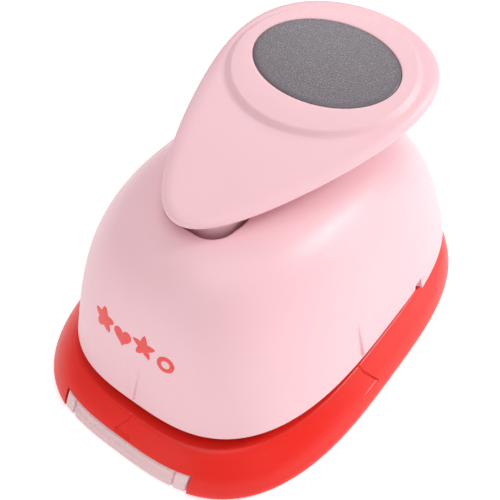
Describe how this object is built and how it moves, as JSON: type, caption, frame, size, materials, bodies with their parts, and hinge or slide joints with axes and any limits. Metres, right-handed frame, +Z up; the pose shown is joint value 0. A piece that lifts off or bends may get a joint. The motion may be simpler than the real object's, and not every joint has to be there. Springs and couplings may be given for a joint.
{
  "type": "craft punch",
  "caption": "Hand lever craft punch: domed housing on a flared base, hinged teardrop lever with an oval grip pad, round steel die and a sliding clear chip tray.",
  "frame": {"origin": "on the table under the middle of the base's outline", "axes": "+Z up, -Y towards the front with the tray lip, +X towards the right long side"},
  "size_m": [0.0656, 0.0949, 0.0563],
  "materials": {
    "pink_plastic": "satin moulded plastic, fine matt texture",
    "red_plastic": "satin moulded plastic",
    "grey_grip": "matt, fine leather grain",
    "clear_plastic": "clear moulded plastic",
    "white_plastic": "plain moulded plastic",
    "plate_steel": "rolled sheet steel",
    "tool_steel": "ground steel",
    "spring_steel": "oiled spring steel",
    "screw_steel": "zinc plated"
  },
  "bodies": {
    "frame": {"base": "red_plastic", "die_plate": "plate_steel", "plate_spacer": "plate_steel", "guide_plate": "plate_steel", "guide_posts": "tool_steel", "base_screws": "screw_steel", "plate_screws": "screw_steel", "chassis": "white_plastic", "chassis_screws": "screw_steel", "spring_left": "spring_steel", "spring_right": "spring_steel", "pivot_pin": "tool_steel", "pin_clips": "spring_steel", "housing": "pink_plastic", "housing_screws": "screw_steel"},
    "lever": {"lever_arm": "pink_plastic", "lever_screws": "screw_steel", "lever_top": "pink_plastic", "grip_pad": "grey_grip"},
    "punch": {"punch_cutter": "tool_steel", "plunger": "white_plastic", "wear_plate": "plate_steel", "cutter_screws": "screw_steel"},
    "tray": {"chip_tray": "clear_plastic"}
  },
  "joints": [
    {"name": "lever_hinge", "type": "hinge", "parent": "frame", "child": "lever", "pos_m": [0, -0.0202, 0.035], "axis": [-1, 0, 0], "range_deg": [0, 10], "stiffness_Nm_per_rad": 0.6, "springref_deg": -11.46},
    {"name": "punch_slide", "type": "slide", "parent": "frame", "child": "punch", "axis": [0, 0, -1], "range_m": [0, 0.0022], "deforming": ["spring_left", "spring_right"]},
    {"name": "tray_slide", "type": "slide", "parent": "frame", "child": "tray", "axis": [0, -1, 0], "range_m": [0, 0.06]}
  ],
  "couplings": [
    {"joint": "punch_slide", "follows": "lever_hinge", "m_per_rad": 0.012536}
  ]
}
